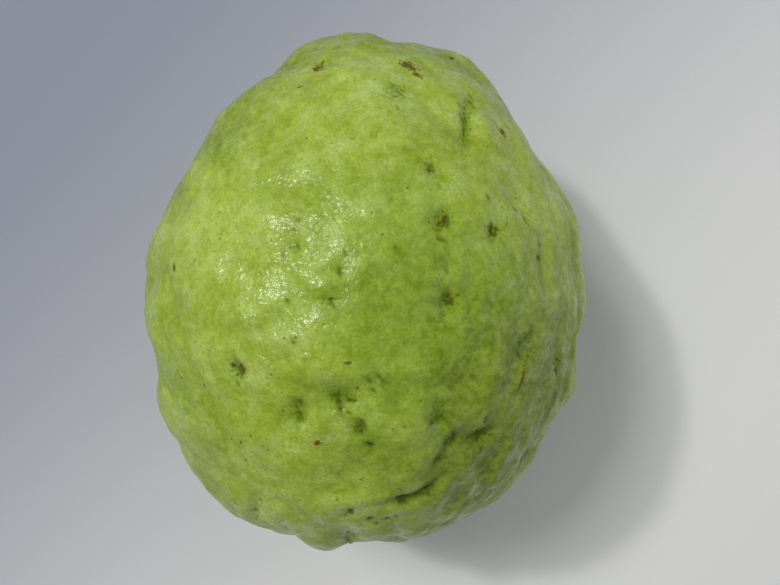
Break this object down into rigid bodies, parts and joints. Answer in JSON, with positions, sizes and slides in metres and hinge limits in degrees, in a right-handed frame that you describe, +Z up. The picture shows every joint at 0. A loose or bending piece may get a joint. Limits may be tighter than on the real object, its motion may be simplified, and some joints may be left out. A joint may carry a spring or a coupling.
{
  "type": "guava fruit",
  "caption": "Large knobbly green guava, lying on its side on a small flat spot, with a cut stalk stub at one end and a dried calyx at the other.",
  "frame": {"origin": "middle of the small flat spot that the fruit rests on, under its centre of mass", "axes": "+Z up; the fruit's long axis lies nearly along Y, stalk end towards +Y and blossom end towards -Y, turned 3.4 degrees about Z so that the stalk end leans towards +X; +X is to the right when it is seen from above with the stalk end up"},
  "size_m": [0.0931, 0.11, 0.089],
  "materials": {
    "skin": "waxy satin, yellow-green mottled with darker green in the dents, with fine pebbled grain",
    "stalk_wood": "dry, matt",
    "dry_husk": "dry, matt"
  },
  "bodies": {
    "root": {"fruit": "skin", "stalk": "stalk_wood", "calyx": "dry_husk"}
  },
  "joints": []
}
